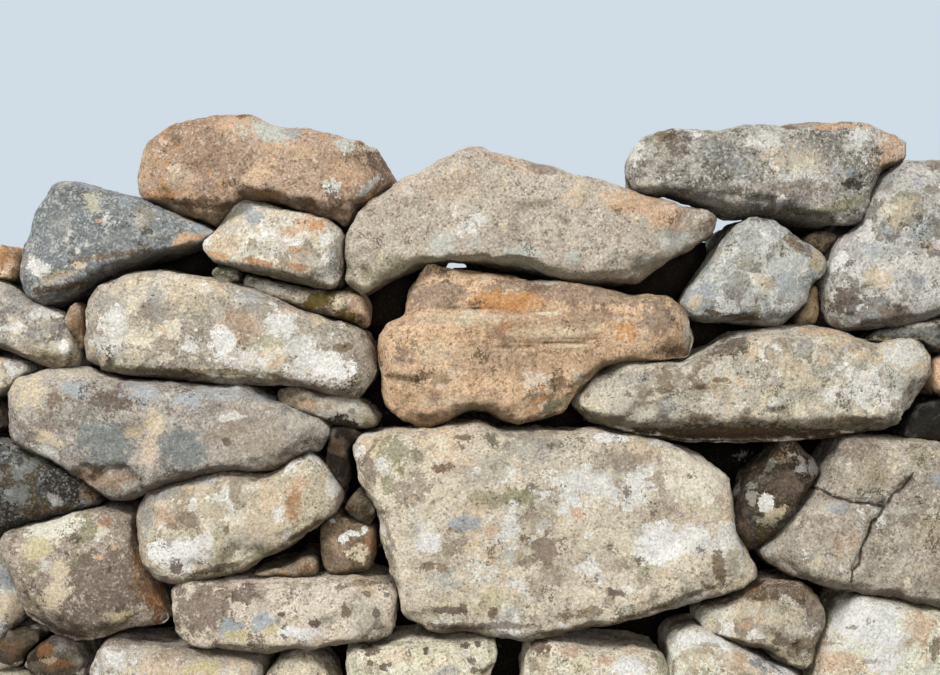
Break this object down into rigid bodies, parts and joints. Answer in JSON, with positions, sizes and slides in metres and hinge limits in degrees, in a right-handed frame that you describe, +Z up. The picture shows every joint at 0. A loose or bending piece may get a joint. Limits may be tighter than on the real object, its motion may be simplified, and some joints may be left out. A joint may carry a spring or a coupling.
{
  "type": "dry stone wall",
  "caption": "Free-standing dry stone field wall of rough granite boulders, double below with hearting, single boulders on top, with built ends.",
  "frame": {"origin": "centre of the footprint, on the ground under the footing stones", "axes": "+X along the wall, towards the right as the front face is seen; +Y from the front face to the rear face; +Z up"},
  "size_m": [2.1, 0.5108, 1.2925],
  "materials": {
    "footing_granite": "matte",
    "low_granite": "matte",
    "grey_white_lichen": "matte",
    "cream_spotted": "matte",
    "cream_white": "matte",
    "white_grey": "matte",
    "brown_pinning": "matte",
    "beige_granite": "matte",
    "olive_mottled": "matte",
    "grey_granite": "matte",
    "black_streaked": "matte",
    "grey_centre_granite": "matte",
    "brown_grey_granite": "matte",
    "grey_cream_granite": "matte",
    "orange_brown_granite": "matte",
    "green_grey_granite": "matte",
    "pink_granite": "matte",
    "blue_grey_granite": "matte",
    "pink_brown_granite": "matte",
    "pink_grey_granite": "matte",
    "end_granite": "matte",
    "hearting_rubble": "matte",
    "rear_granite": "matte"
  },
  "bodies": {
    "root": {"footing_stones": "footing_granite", "second_course_front": "low_granite", "second_course_rear": "low_granite", "grey_white_stone": "grey_white_lichen", "round_spotted_stone": "cream_spotted", "cream_block_stone": "cream_white", "white_slope_stone": "white_grey", "white_patch_stone": "cream_white", "low_front_pinnings": "brown_pinning", "beige_slope_stone": "beige_granite", "square_mottled_stone": "olive_mottled", "left_grey_stone": "grey_granite", "spotted_long_stone": "cream_spotted", "beige_wedge_stone": "beige_granite", "middle_pinnings": "brown_pinning", "black_streaked_stone": "black_streaked", "dark_centre_stone": "grey_centre_granite", "big_centre_stone": "beige_granite", "tilted_dark_stone": "brown_pinning", "cracked_stone": "brown_grey_granite", "edge_pinnings": "brown_pinning", "left_shoulder_stone": "grey_cream_granite", "lichen_beam_stone": "grey_cream_granite", "ledged_brown_stone": "orange_brown_granite", "wavy_cream_stone": "cream_white", "flat_green_stone": "green_grey_granite", "upper_left_pinnings": "pink_granite", "upper_right_pinnings": "brown_pinning", "left_orange_stone": "orange_brown_granite", "tan_block_stone": "cream_white", "triangular_stone": "grey_granite", "tall_right_stone": "grey_granite", "blue_wedge_cope": "blue_grey_granite", "brown_saddle_cope": "pink_brown_granite", "peaked_cope": "pink_grey_granite", "long_grey_cope": "grey_granite", "left_end_cope": "grey_cream_granite", "left_cheek_stones": "end_granite", "right_cheek_stones": "end_granite", "inner_pinnings": "hearting_rubble", "rear_low_row": "rear_granite", "rear_middle_row": "rear_granite", "rear_upper_row": "rear_granite", "low_hearting": "hearting_rubble", "upper_hearting": "hearting_rubble"}
  },
  "joints": []
}
